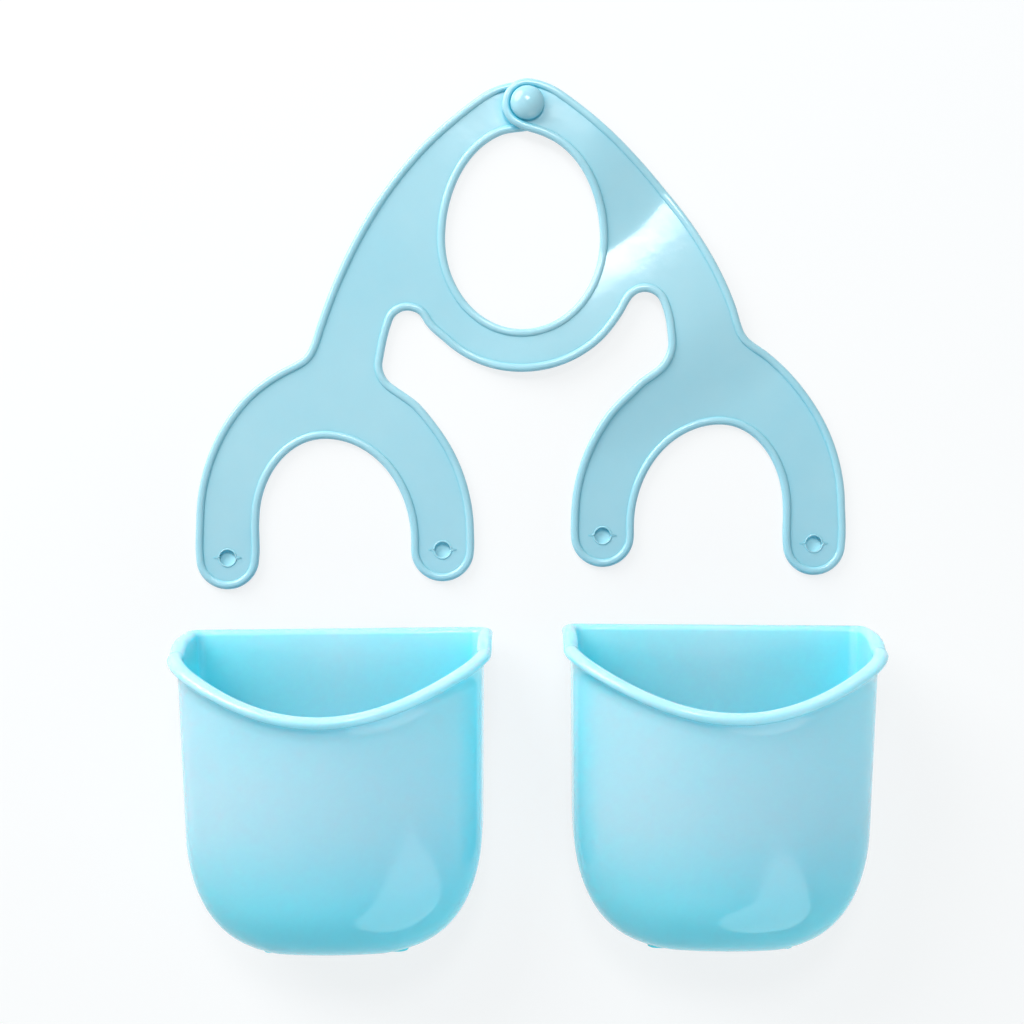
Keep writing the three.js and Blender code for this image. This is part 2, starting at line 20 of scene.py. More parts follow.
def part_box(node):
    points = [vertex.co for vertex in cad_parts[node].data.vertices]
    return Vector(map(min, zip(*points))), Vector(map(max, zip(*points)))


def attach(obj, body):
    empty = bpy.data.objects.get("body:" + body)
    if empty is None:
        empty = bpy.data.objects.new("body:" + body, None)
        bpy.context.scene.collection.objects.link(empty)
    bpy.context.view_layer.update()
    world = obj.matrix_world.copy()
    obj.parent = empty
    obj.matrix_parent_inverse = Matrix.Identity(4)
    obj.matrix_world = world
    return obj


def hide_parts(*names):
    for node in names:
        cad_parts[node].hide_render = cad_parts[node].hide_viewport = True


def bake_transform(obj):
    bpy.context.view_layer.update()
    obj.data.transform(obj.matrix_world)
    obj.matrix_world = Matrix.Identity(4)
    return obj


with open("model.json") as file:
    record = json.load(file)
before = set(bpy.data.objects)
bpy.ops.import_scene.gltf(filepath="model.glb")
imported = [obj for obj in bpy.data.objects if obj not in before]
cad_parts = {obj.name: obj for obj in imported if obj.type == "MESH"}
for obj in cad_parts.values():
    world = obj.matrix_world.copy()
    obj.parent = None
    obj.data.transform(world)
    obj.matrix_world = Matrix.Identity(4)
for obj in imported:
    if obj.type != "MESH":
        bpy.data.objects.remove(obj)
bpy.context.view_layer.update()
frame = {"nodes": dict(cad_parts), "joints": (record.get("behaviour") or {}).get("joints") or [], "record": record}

MM = 0.001
print("nodes:", ", ".join(sorted(frame["nodes"])))

# %% [markdown]
# ## Node trees written as expressions
# Materials and Geometry Nodes are both trees of small nodes. Clicking them together is slow to
# read, so one class stands for "an output of a node". Adding or multiplying two of them adds a Math
# node, `mix` blends two colours, and `node` makes any other kind from its type, its settings and
# its sockets.


# %% A wire between nodes
class Wire:
    """One output socket of a node tree, with arithmetic that adds Math nodes."""

    def __init__(self, tree, socket=None):
        self.tree = tree
        self.socket = socket

    def node(self, kind, settings=None, sockets=None, output=0):
        made = self.tree.nodes.new(kind)
        for name, value in (settings or {}).items():
            setattr(made, name, value)
        for name, value in (sockets or {}).items():
            if isinstance(value, Wire):
                self.tree.links.new(value.socket, made.inputs[name])
            else:
                made.inputs[name].default_value = value
        return Wire(self.tree, made.outputs[output])

    def mix(self, factor, first, second):
        """A colour between two; 6 and 7 are the Mix node's colour sockets, and 2 its result."""
        sockets = {"Factor": factor, 6: first, 7: second}
        return self.node("ShaderNodeMix", {"data_type": "RGBA"}, sockets, output=2)

    def math(self, operation, first, second):
        return self.node("ShaderNodeMath", {"operation": operation}, {0: first, 1: second})

    def __add__(self, other):
        return self.math("ADD", self, other)

    def __sub__(self, other):
        return self.math("SUBTRACT", self, other)

    def __rsub__(self, other):
        return self.math("SUBTRACT", other, self)

    def __mul__(self, other):
        return self.math("MULTIPLY", self, other)

    __radd__ = __add__
    __rmul__ = __mul__


print("a wire's + - and * each add a Math node")

# %% [markdown]
# ## Two plastics
# The yoke is a soft, rubbery plastic with a satin skin; the cups are harder and more polished. Both
# are milky: a little light goes in and comes out again, and a Principled shader with some
# subsurface light does that. Where light has met the plastic more than once, its colour looks
# deeper. A volume would show this truly, but it renders slowly and with noise. So the colour holds
# painted shade: Ambient Occlusion paints a deeper blue in grooves and hollows, and the cups are
# painted a deeper blue towards their floors. Slow noise shifts the colour a little, finer noise
# stirs the roughness, and a faint bump gives the skin the ripple that breaks up a highlight.


# %% The plastic material
def linear(red, green, blue):
    """A colour as it is picked on a screen, in the linear values that a shader takes."""
    picked = (red, green, blue)
    curve = [c / 12.92 if c <= 0.04045 else ((c + 0.055) / 1.055) ** 2.4 for c in picked]
    return (*curve, 1.0)


def noise(wire, place, scale, detail):
    sockets = {"Vector": place, "Scale": scale, "Detail": detail}
    return wire.node("ShaderNodeTexNoise", sockets=sockets)


# FLOOR_STARTS and FLOOR_ENDS bound, in Y, the painted shade towards the cups' floors.
FLOOR_STARTS, FLOOR_ENDS = -145 * MM, -200 * MM
GRAIN_HEIGHT = 0.01 * MM


def moulded_plastic(name, pale, deep, shade, groove, rough, milk, reach, ripple, thick=None):
    """A milky plastic: two near colours, a painted shade in hollows of a given width and perhaps a
    painted shade near the cups' floors; then its roughness, inner light, how far that light goes, and its ripple."""
    material = bpy.data.materials.new(name)
    material.use_nodes = True
    tree = material.node_tree
    shader = tree.nodes["Principled BSDF"]
    wire = Wire(tree)
    place = wire.node("ShaderNodeTexCoord", output="Object")
    drift = noise(wire, place, scale=14.0, detail=2.0)
    flow = noise(wire, place, scale=90.0, detail=3.0)
    grain = noise(wire, place, scale=1400.0, detail=2.0)
    cloud = drift * 0.75 + flow * 0.25
    patch = wire.node("ShaderNodeMapRange", sockets={"Value": cloud, 1: 0.3, 2: 0.7})
    colour = wire.mix(patch, linear(*pale), linear(*deep))
    # Painted shade: towards the cups' floors the colour turns to the deeper blue given as thick, for the shade on
    # their lower part.
    if thick:
        along = wire.node("ShaderNodeSeparateXYZ", sockets={"Vector": place}, output="Y")
        low = wire.node(
            "ShaderNodeMapRange",
            {"interpolation_type": "SMOOTHSTEP"},
            {"Value": along, 1: FLOOR_STARTS, 2: FLOOR_ENDS},
        )
        colour = wire.mix(low, colour, linear(*thick))
    # Painted shade: Ambient Occlusion blends the shade colour into grooves, hollows and under rims.
    open_sky = wire.node(
        "ShaderNodeAmbientOcclusion", {"samples": 8}, {"Distance": groove}, output="AO"
    )
    colour = wire.mix(open_sky, linear(*shade), colour)
    roughness = rough + (flow - 0.5) * 0.10 + (grain - 0.5) * 0.04
    skin = wire.node(
        "ShaderNodeBump",
        sockets={"Height": drift * 0.8 + flow * 0.2, "Distance": ripple, "Strength": 1.0},
    )
    fine = wire.node(
        "ShaderNodeBump",
        sockets={"Height": grain, "Distance": GRAIN_HEIGHT, "Strength": 0.6, "Normal": skin},
    )
    for value, socket in ((colour, "Base Color"), (roughness, "Roughness"), (fine, "Normal")):
        tree.links.new(value.socket, shader.inputs[socket])
    shader.inputs["Subsurface Weight"].default_value = milk
    shader.inputs["Subsurface Radius"].default_value = reach
    shader.inputs["Subsurface Scale"].default_value = MM
    shader.inputs["IOR"].default_value = 1.5
    print("material:", name)
    return material


# The yoke's shade colour is painted shade in its grooves, up to 4 mm wide.
soft_plastic = moulded_plastic(
    "soft_plastic",
    pale=(0.68, 0.84, 0.88),
    deep=(0.63, 0.82, 0.87),
    shade=(0.05, 0.80, 0.90),
    groove=4 * MM,
    rough=0.16,
    milk=0.25,
    reach=(0.5, 1.0, 1.0),
    ripple=0.6 * MM,
)
# The cups' shade colour is painted shade in their hollows and under their rims.
hard_plastic = moulded_plastic(
    "hard_plastic",
    pale=(0.75, 0.875, 0.94),
    deep=(0.71, 0.865, 0.935),
    shade=(0.03, 0.90, 0.985),
    groove=54 * MM,
    rough=0.1,
    milk=1.0,
    reach=(1.0, 7.0, 7.0),
    ripple=0.4 * MM,
    # Painted shade towards the floors: this deeper blue.
    thick=(0.43, 0.87, 0.98),
)

# %% [markdown]
# ## The yoke's edge, read from the frame
# The yoke is cut from tangent arcs, and the CAD solid has them as short straight sides. The edge is
# read off the solid's underside, joined to the edge of the snap tab, and smoothed into one curve.
# Reading it keeps the dressed piece in step with the solid. Drawing the arcs again would work too,
# but then every size would be written twice.

# %% Loops round the underside of a solid
SAME_POINT = 0.001 * MM
FACES_DOWN, STANDS_UP = -0.9, -0.5


def signed_area(loop):
    """The area inside a loop, which is positive where the loop runs counterclockwise."""
    following = np.roll(loop, -1, axis=0)
    return 0.5 * float(np.sum(loop[:, 0] * following[:, 1] - following[:, 0] * loop[:, 1]))


def underside_loops(node):
    """The closed edges of a CAD node's underside as points, counterclockwise, largest first."""
    solid = bmesh.new()
    solid.from_mesh(frame["nodes"][node].data)
    bmesh.ops.remove_doubles(solid, verts=solid.verts, dist=SAME_POINT)
    solid.normal_update()
    beside = {}
    for edge in solid.edges:
        slopes = sorted(face.normal.z for face in edge.link_faces)
        if slopes[0] < FACES_DOWN and slopes[-1] > STANDS_UP:
            first, second = edge.verts
            beside.setdefault(first, []).append(second)
            beside.setdefault(second, []).append(first)
    loops = []
    while beside:
        chain = [min(beside, key=lambda v: len(beside[v]))]
        while chain:
            onward = [v for v in beside.pop(chain[-1]) if v in beside]
            if not onward:
                break
            chain.append(onward[0])
        loops.append(np.array([v.co[:] for v in chain]))
    solid.free()
    loops = [loop if signed_area(loop) > 0 else loop[::-1] for loop in loops]
    return sorted(loops, key=lambda loop: -abs(signed_area(loop)))


strap_loops = underside_loops("strap")
tab_loops = underside_loops("snap_tab")
print("loops under the strap:", len(strap_loops), "and under the tab:", len(tab_loops))

# %% The hinge line, where strap and tab part
CUT_WIDTH = 0.6 * MM
CUT_REACH = 30 * MM
hinge = next(joint for joint in frame["joints"] if joint["name"] == "snap_tab_lift")
hinge_point = np.array(hinge["pos_m"][:2])
button_low, button_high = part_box("snap_button")
button_centre = np.array((button_low + button_high)[:2]) / 2
towards_button = np.array([-hinge["axis"][1], hinge["axis"][0]])
towards_button *= np.sign((button_centre - hinge_point) @ towards_button)


def opened_at_hinge(loop):
    """The loop without the two corners of its hinge cut, starting and ending beside the cut."""
    offset = loop[:, :2] - hinge_point
    in_line = abs(offset @ towards_button) < CUT_WIDTH
    at_cut = in_line & (np.linalg.norm(offset, axis=1) < CUT_REACH)
    last = max(i for i in range(len(loop)) if at_cut[i] and not at_cut[(i + 1) % len(loop)])
    rolled = np.roll(loop, -last - 1, axis=0)
    return rolled[~np.roll(at_cut, -last - 1)]


strap_edge = opened_at_hinge(strap_loops[0])
tab_edge = opened_at_hinge(tab_loops[0])
print("edge points:", len(strap_edge), "on the strap,", len(tab_edge), "on the tab")

# %% Smooth the whole edge
EDGE_STEP = 0.8 * MM
FINE_STEPS = 24


def smooth_loop(points, step):
    """A closed curve through the points, sampled evenly, and its length."""
    ahead = np.roll(points, -1, axis=0) - points
    chord = np.linalg.norm(ahead, axis=1, keepdims=True)
    slope = ahead / chord
    back = np.roll(chord, 1, axis=0)
    tangent = (slope * back + np.roll(slope, 1, axis=0) * chord) / (chord + back)
    fine = np.linspace(0, 1, FINE_STEPS, endpoint=False)[None, :, None]
    p, q = points[:, None], np.roll(points, -1, axis=0)[:, None]
    m, n = (tangent * chord)[:, None], (np.roll(tangent, -1, axis=0) * chord)[:, None]
    share = 3 * fine**2 - 2 * fine**3
    curve = p + share * (q - p) + fine * (fine - 1) ** 2 * m + fine**2 * (fine - 1) * n
    dense = np.vstack([curve.reshape(-1, 2), points[:1]])
    run = np.concatenate([[0], np.cumsum(np.linalg.norm(np.diff(dense, axis=0), axis=1))])
    places = np.linspace(0, run[-1], int(run[-1] / step), endpoint=False)
    return np.column_stack([np.interp(places, run, line) for line in dense.T]), run[-1]


edge, edge_length = smooth_loop(np.vstack([strap_edge, tab_edge])[:, :2], EDGE_STEP)
print(f"edge: {edge_length / MM:.0f} mm long in {len(edge)} steps")

# %% [markdown]
# ## Where the yoke is divided
# The tab lifts off the button, and the soft arm below it bends. So the arm's end is made as one
# piece, and the rest is a second piece, riding on the strap, that never bends. They meet on a seam
# a little below the hinge.

# %% Divide the edge at the seam
seam_below_hinge = 11 * MM
below_seam = np.flatnonzero((edge - hinge_point) @ towards_button < -seam_below_hinge)
first_seam, second_seam = int(below_seam[0]), int(below_seam[-1])
yoke_part = np.arange(first_seam, second_seam + 1)
arm_part = np.arange(second_seam, len(edge) + first_seam + 1) % len(edge)
heading = np.roll(edge, -1, axis=0) - np.roll(edge, 1, axis=0)
heading /= np.linalg.norm(heading, axis=1, keepdims=True)
inwards = np.column_stack([-heading[:, 1], heading[:, 0]])
print("steps in the yoke:", len(yoke_part), "and in the snap arm:", len(arm_part))

# %% [markdown]
# ## How the soft yoke lies
# The right arm's end lies on top of the left arm's end, so the arm comes down from there as a ramp.
# Closing the ring also strains the web: below the ramp it makes a shallow valley, swells up again
# by almost three millimetres and sinks slowly towards the fork. The far side of the valley faces
# the light and gives the broad white sheen that the ring has there, with the darker ramp above it.
# Simulated cloth could bend like this, but a few smooth steps of height say where each bend is.


# %% The height of each point of the yoke
def ease(value, low, high):
    """0 below the low value, 1 above the high one, and a smooth step between."""
    share = np.clip((value - low) / (high - low), 0, 1)
    return share**2 * (3 - 2 * share)


tab_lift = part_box("snap_tab")[0].z
left_arm_end = 30 * MM
ramp_top, ramp_foot = 24 * MM, 60 * MM
valley, crest, flat_again = 57 * MM, 95 * MM, 130 * MM
crest_height = 2.8 * MM
ring_middle = 39 * MM
bridge_flat, bridge_full = -25 * MM, 12 * MM


def rise(points, whole_piece):
    """How high each point stands off the table; the left arm and leg lie flat."""
    distance = np.linalg.norm(points[:, :2] - button_centre, axis=1)
    ramp = tab_lift * (1 - ease(distance, ramp_top, ramp_foot))
    share = np.clip((distance - valley) / (crest - valley), 0, 1)
    up, down = 1 - (1 - share) ** 2, 1 - ease(distance, crest, flat_again)
    across = points[:, 0]
    below_ring = ease(across, bridge_flat, bridge_full)
    on_right = whole_piece | ((across > 0) & (distance > left_arm_end))
    side = np.where(points[:, 1] < ring_middle, below_ring, on_right)
    return side * (ramp + crest_height * np.minimum(up, down))


print(f"the tab lies {tab_lift / MM:.1f} mm up")

# %% [markdown]
# ## The bead along every edge
# A rounded bead stands along the yoke's edge. It follows a path, so Geometry Nodes sweep it: the
# path becomes a curve, a rounded rectangle is its section, and Curve to Mesh carries the section
# along. Its ends are capped, so each bead is a closed body.

# %% Trees with named inputs
FLOAT, WHOLE, GEOMETRY = "NodeSocketFloat", "NodeSocketInt", "NodeSocketGeometry"


def new_tree(name, inputs):
    """A Geometry Nodes tree with a mesh in and out and the named inputs, and its input wires."""
    tree = bpy.data.node_groups.new(name, "GeometryNodeTree")
    tree.interface.new_socket("Geometry", in_out="INPUT", socket_type=GEOMETRY)
    tree.interface.new_socket("Geometry", in_out="OUTPUT", socket_type=GEOMETRY)
    for label, kind in inputs.items():
        tree.interface.new_socket(label, in_out="INPUT", socket_type=kind)
    start = tree.nodes.new("NodeGroupInput")
    given = {socket.name: Wire(tree, socket) for socket in start.outputs if socket.name}
    return tree, Wire(tree), given


def end_tree(tree, wire, geometry, material):
    """Ends a tree: real meshes in place of instances, then the material."""
    real = wire.node("GeometryNodeRealizeInstances", sockets={"Geometry": geometry})
    painted = wire.node("GeometryNodeSetMaterial", sockets={"Geometry": real, "Material": material})
    finish = tree.nodes.new("NodeGroupOutput")
    tree.links.new(painted.socket, finish.inputs[0])
    print("tree:", tree.name, "with", len(tree.nodes), "nodes")


def run_tree(tree, mesh, values):
    """Runs a tree on a mesh with the given inputs and returns the result as a plain mesh."""
    holder = bpy.data.objects.new(tree.name, mesh)
    bpy.context.scene.collection.objects.link(holder)
    modifier = holder.modifiers.new(tree.name, "NODES")
    modifier.node_group = tree
    inputs = [item for item in tree.interface.items_tree if item.in_out == "INPUT"]
    identifiers = {item.name: item.identifier for item in inputs}
    for label, value in values.items():
        modifier[identifiers[label]] = value
    bpy.context.view_layer.update()
    evaluated = holder.evaluated_get(bpy.context.evaluated_depsgraph_get())
    made = bpy.data.meshes.new_from_object(evaluated)
    bpy.data.objects.remove(holder)
    return made


# %% A tree that sweeps a bead
def bead_tree(material):
    inputs = {"Width": FLOAT, "Height": FLOAT, "Round": FLOAT}
    tree, wire, given = new_tree("bead", inputs)
    path = wire.node("GeometryNodeMeshToCurve", sockets={"Mesh": given["Geometry"]})
    level = wire.node("GeometryNodeSetCurveNormal", {"mode": "Z_UP"}, {"Curve": path})
    block = wire.node(
        "GeometryNodeCurvePrimitiveQuadrilateral",
        sockets={0: given["Width"], 1: given["Height"]},
    )
    section = wire.node(
        "GeometryNodeFilletCurve",
        {"mode": "POLY"},
        {"Curve": block, "Count": 7, "Radius": given["Round"], "Limit Radius": True},
    )
    bead = wire.node(
        "GeometryNodeCurveToMesh",
        sockets={"Curve": level, "Profile Curve": section, "Fill Caps": True},
    )
    smooth = wire.node("GeometryNodeSetShadeSmooth", sockets={"Geometry": bead})
    end_tree(tree, wire, smooth, material)
    return tree


sweep_bead = bead_tree(soft_plastic)

# %% Sweep the bead along a part of the edge
bead_width = 2.9 * MM
bead_height = 2.6 * MM
bead_round = 0.44 * bead_width


def bead_along(part, whole_piece):
    """A bead just inside a stretch of the edge."""
    line = edge[part] + inwards[part] * bead_width / 2
    height = rise(edge[part], whole_piece) + bead_height / 2
    path = bpy.data.meshes.new("bead_path")
    steps = [(i, i + 1) for i in range(len(part) - 1)]
    path.from_pydata(np.column_stack([line, height]).tolist(), steps, [])
    values = {"Width": bead_width, "Height": bead_height, "Round": bead_round}
    return run_tree(sweep_bead, path, values)


print(f"bead: {bead_width / MM:.1f} mm wide, {bead_height / MM:.1f} mm high")

# %% [markdown]
# ## The web between the beads
# Inside the bead the yoke is a thin web. It is triangulated with a scatter of inner points, so that
# it can bend where the arm climbs, and a plain fill would not. Its holes get a thin raised rim, as
# the real ones have: a punched hole in soft plastic would tear without it.

# %% Triangles over an outline with holes
LEVEL_SIDE = 1e-12
FLAT_TRIANGLE = 2e-11
MERGED_POINTS = 1e-9
BORDER_GAP = 0.6


def inside(points, loop):
    """Whether each point lies inside a closed loop."""
    x, y = points[:, 0][:, None], points[:, 1][:, None]
    x0, y0 = loop[:, 0], loop[:, 1]
    x1, y1 = np.roll(x0, -1), np.roll(y0, -1)
    spans = (y0 > y) != (y1 > y)
    reach = x0 + (y - y0) * (x1 - x0) / np.where(y1 == y0, LEVEL_SIDE, y1 - y0)
    return np.count_nonzero(spans & (x < reach), axis=1) % 2 == 1


def filled(outline, holes, spacing):
    """Triangles over an outline with holes: points of the loops first, then inner points."""
    loops = [outline, *holes]
    lows, highs = outline.min(axis=0), outline.max(axis=0)
    lines = [np.arange(low, high, spacing) for low, high in zip(lows, highs)]
    grid = np.stack(np.meshgrid(*lines), axis=-1).reshape(-1, 2)
    grid = grid[inside(grid, outline)]
    for hole in holes:
        grid = grid[~inside(grid, hole)]
    border = np.vstack(loops)
    gap = (BORDER_GAP * spacing) ** 2
    clear = [np.min(np.sum((border - point) ** 2, axis=1)) > gap for point in grid]
    points = np.vstack([border, grid[np.array(clear)]])
    sides = []
    start = 0
    for loop in loops:
        count = len(loop)
        sides += [(start + i, start + (i + 1) % count) for i in range(count)]
        start += count
    made = delaunay_2d_cdt([Vector(p) for p in points], sides, [], 0, MERGED_POINTS)
    corners = np.array([v[:] for v in made[0]])
    faces = np.array(made[2])
    middles = corners[faces].mean(axis=1)
    arms = corners[faces][:, 1:] - corners[faces][:, :1]
    doubled_area = np.abs(arms[:, 0, 0] * arms[:, 1, 1] - arms[:, 0, 1] * arms[:, 1, 0])
    kept = inside(middles, outline) & (doubled_area > FLAT_TRIANGLE)
    for hole in holes:
        kept &= ~inside(middles, hole)
    return corners, faces[kept], sides


# %% A plate that follows the yoke's rise
web_low, web_high = 0.12 * MM, 1.8 * MM
web_spacing = 1.5 * MM
sharp_from = math.radians(40)


def plate(outline, holes, whole_piece):
    """The closed web inside an outline, with holes."""
    corners, faces, sides = filled(outline, holes, web_spacing)
    lift = rise(corners, whole_piece)
    count = len(corners)
    top = np.column_stack([corners, lift + web_high])
    under = np.column_stack([corners, lift + web_low])
    walls = [(a, b, b + count, a + count) for a, b in sides]
    skins = [tuple(f[::-1]) for f in faces] + [tuple(f + count) for f in faces]
    mesh = bpy.data.meshes.new("web")
    mesh.from_pydata(np.vstack([under, top]).tolist(), [], skins + walls)
    mesh.shade_smooth()
    mesh.set_sharp_from_angle(angle=sharp_from)
    mesh.materials.append(soft_plastic)
    return mesh


print(f"web: {(web_high - web_low) / MM:.2f} mm thick")

# %% The eye-shaped holes
half_slit = 0.25 * MM
button_hole_radius = 3 * MM


def eye(loop):
    """A smooth eye in place of a coarse one: a round hole with a short slit either side."""
    low, high = loop[:, :2].min(axis=0), loop[:, :2].max(axis=0)
    centre = (low + high) / 2
    reach, radius = (high - low) / 2
    leaves = math.asin(half_slit / radius)
    turn = np.linspace(leaves, math.pi - leaves, 21)
    upper = [(math.cos(a) * radius, math.sin(a) * radius) for a in turn]
    lower = [(-x, -y) for x, y in upper]
    return centre + np.array([(reach, 0.0), *upper, (-reach, 0.0), *lower])


def circle(centre, radius, count=40):
    turn = np.linspace(0, 2 * math.pi, count, endpoint=False)
    return centre + radius * np.column_stack([np.cos(turn), np.sin(turn)])


half_way_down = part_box("strap")[0].y / 2
eyes = [eye(loop) for loop in strap_loops[1:] if loop[:, 1].max() < half_way_down]
button_hole = circle(button_centre, button_hole_radius)
print("eye-shaped holes:", len(eyes))


# %% [markdown]
# ## Assembling the yoke and the snap arm
# Bead and web are two closed bodies that overlap inside the plastic, joined into one object. A
# Boolean union would make one skin of them, but the bead hides the line where they meet. The snap
# arm is made in the same way.


# %% Join meshes into a piece
def piece(name, meshes):
    """One object from several meshes, with its place in its mesh."""
    joined = bmesh.new()
    for mesh in meshes:
        joined.from_mesh(mesh)
    for mesh in meshes[1:]:
        bpy.data.meshes.remove(mesh)
    made = meshes[0]
    joined.to_mesh(made)
    joined.free()
    made.name = name
    thing = bpy.data.objects.new(name, made)
    bpy.context.scene.collection.objects.link(thing)
    print(f"{name}: {len(made.polygons)} faces")
    return thing


# %% The yoke
SEAM_POINTS = 24
EYE_RIM = {"Width": 0.6 * MM, "Height": 0.5 * MM, "Round": 0.24 * MM}


def strip(name, part, holes, whole_piece, extras=()):
    """The bead and the web of one part of the yoke, closed by a straight seam."""
    rim = edge[part] + inwards[part] * bead_width / 2
    seam = np.linspace(rim[-1], rim[0], SEAM_POINTS)[1:-1]
    web = plate(np.vstack([rim, seam]), holes, whole_piece)
    return piece(name, [bead_along(part, whole_piece), web, *extras])


def eye_rim(loop):
    """A thin raised rim round a hole."""
    path = bpy.data.meshes.new("rim_path")
    count = len(loop)
    points = np.column_stack([loop, np.full(count, web_high)])
    path.from_pydata(points.tolist(), [(i, (i + 1) % count) for i in range(count)], [])
    return run_tree(sweep_bead, path, EYE_RIM)


rims = [eye_rim(loop) for loop in eyes]
yoke = strip("yoke", yoke_part, [*eyes, button_hole], whole_piece=False, extras=rims)
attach(yoke, "strap")
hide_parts("strap")

# %% The snap arm
snap_arm = strip("snap_arm", arm_part, [button_hole], whole_piece=True)
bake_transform(snap_arm)
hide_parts("snap_tab")

# %% [markdown]
# ## The snap button
# The button is a turned shape: a flat foot, a neck through both arms and a domed head. A profile
# spun round its axis makes it. The head's rim is rounded, because a sharp one would cut the tab.


# %% A turned piece
def lathe(name, profile, sides, material):
    """A closed mesh from a profile of (radius, height), first and last on the axis."""
    body = bmesh.new()
    rings = []
    for radius, height in profile:
        count = sides if radius > 0 else 1
        turn = [2 * math.pi * i / count for i in range(count)]
        places = [(radius * math.cos(a), radius * math.sin(a), height) for a in turn]
        rings.append([body.verts.new(place) for place in places])
    for low, high in zip(rings, rings[1:]):
        for i in range(sides):
            below = [low[i % len(low)], low[(i + 1) % len(low)]]
            above = [high[(i + 1) % len(high)], high[i % len(high)]]
            body.faces.new(list(dict.fromkeys(below + above)))
    bmesh.ops.recalc_face_normals(body, faces=body.faces)
    for face in body.faces:
        face.smooth = True
    mesh = bpy.data.meshes.new(name)
    body.to_mesh(mesh)
    body.free()
    mesh.materials.append(material)
    return mesh


def dome(radius, base, height, edge_round, steps=12):
    """A domed head's profile from its rounded rim up to the crown."""
    inner, widest = radius - edge_round, base + edge_round
    turn = np.linspace(-math.pi / 2, math.pi / 2, 2 * steps)[:steps]
    low = [(inner + edge_round * math.cos(a), widest + edge_round * math.sin(a)) for a in turn]
    turn = np.linspace(0, math.pi / 2, steps)[1:-1]
    rise_left = height - edge_round
    high = [(radius * math.cos(a), widest + rise_left * math.sin(a)) for a in turn]
    return low + high + [(0.0, base + height)]


head_radius = (button_high.x - button_low.x) / 2
head_height = 4.2 * MM
head_base = button_high.z - head_height
head_edge = 0.7 * MM
neck_radius = 2.6 * MM
foot_radius = 4.5 * MM
foot_top = button_low.z + 0.8 * MM
button_profile = [
    (0.0, button_low.z),
    (foot_radius, button_low.z),
    (foot_radius, foot_top),
    (neck_radius, foot_top),
    (neck_radius, head_base),
    *dome(head_radius, head_base, head_height, head_edge),
]
button_mesh = lathe("snap_button_cap", button_profile, sides=72, material=soft_plastic)
button_mesh.transform(Matrix.Translation((*button_centre, 0)))
button = piece("snap_button_cap", [button_mesh])
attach(button, "strap")
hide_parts("snap_button")

# %% [markdown]
# ## The cups
# Each cup is a half-round bucket with a flat back. Seen from its mouth, its plan is a back corner,
# a straight side, a broad front corner and a bowed front. Ring after ring of that plan, narrower
# towards the floor, makes the shell: up the inside, over the rolled rim, down the outside. The rim
# is level at the back, drops late along each side and dips at the front, so the ring's height
# changes round the plan. Near the floor the bow is drawn almost straight, since a real cup has a
# flat lower edge. A Subdivision Surface cage would be quicker, but it would not keep these sizes.

# %% Sizes of a cup
STUD_MARGIN = 12.8 * MM
CUP_DEPTH = 57 * MM
WALL = 2.0 * MM
FLOOR = 2.2 * MM
SIDE_TAPER = 1.7 * MM
FRONT_TAPER = 9 * MM
FRONT_CORNER = 23 * MM
FRONT_BOW = 10 * MM
BACK_CORNER = 3 * MM
FLAT_HALF = 23.5 * MM
CORNER_RISE = 39 * MM
FRONT_ROUND = 21 * MM
FLAT_FRONT = 0.9
FLAT_FADE = 0.45
FLANGE = 2.9 * MM
RIM_DEPTH = 4 * MM
UNDER_RIM = 1.12 * RIM_DEPTH
SIDE_DROP = 3.6 * MM
SIDE_CURVE = 6
FRONT_DROP = 19.9 * MM
LIP_CURVE = 0.93
FOOT_HEIGHT = 0.8 * MM


def middle(node):
    low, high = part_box(node)
    return (low + high) / 2


stud_spacing = (middle("left_cup_stud_right") - middle("left_cup_stud_left")).length
half_width = stud_spacing / 2 + STUD_MARGIN
side_depth = CUP_DEPTH - FRONT_CORNER - FRONT_BOW
print(f"studs {stud_spacing / MM:.1f} mm apart, cup {2 * half_width / MM:.1f} mm wide")


# %% Where a cup lies
def cup_place(name):
    """A cup's place, turned to run across, up to its mouth and out from its back; its height."""
    mount = next(m for m in frame["record"]["mounts"] if m["name"] == name + "_back")
    outwards = -Vector(mount["axis"]).normalized()
    across = middle(name + "_stud_right") - middle(name + "_stud_left")
    across = (across - outwards * across.dot(outwards)).normalized()
    up = outwards.cross(across)
    turn = Matrix((across, up, outwards))
    corners = np.array([turn @ v.co for v in frame["nodes"][name].data.vertices])
    low, high = corners.min(axis=0), corners.max(axis=0)
    base = Vector(((low[0] + high[0]) / 2, low[1] + FOOT_HEIGHT, low[2]))
    place = Matrix.Translation(turn.transposed() @ base) @ turn.transposed().to_4x4()
    return place, high[1] - base.y


cup_height = cup_place("left_cup")[1]
print(f"cup {cup_height / MM:.1f} mm tall")

# %% The cup's plan
BACK_STEPS, CORNER_STEPS, SIDE_STEPS, FRONT_STEPS, BOW_STEPS = 16, 9, 9, 28, 18
QUARTER = math.pi / 2


def arc(centre, start, end, radius, count):
    turn = np.linspace(start, end, count)
    return np.column_stack([centre[0] + radius * np.cos(turn), centre[1] + radius * np.sin(turn)])


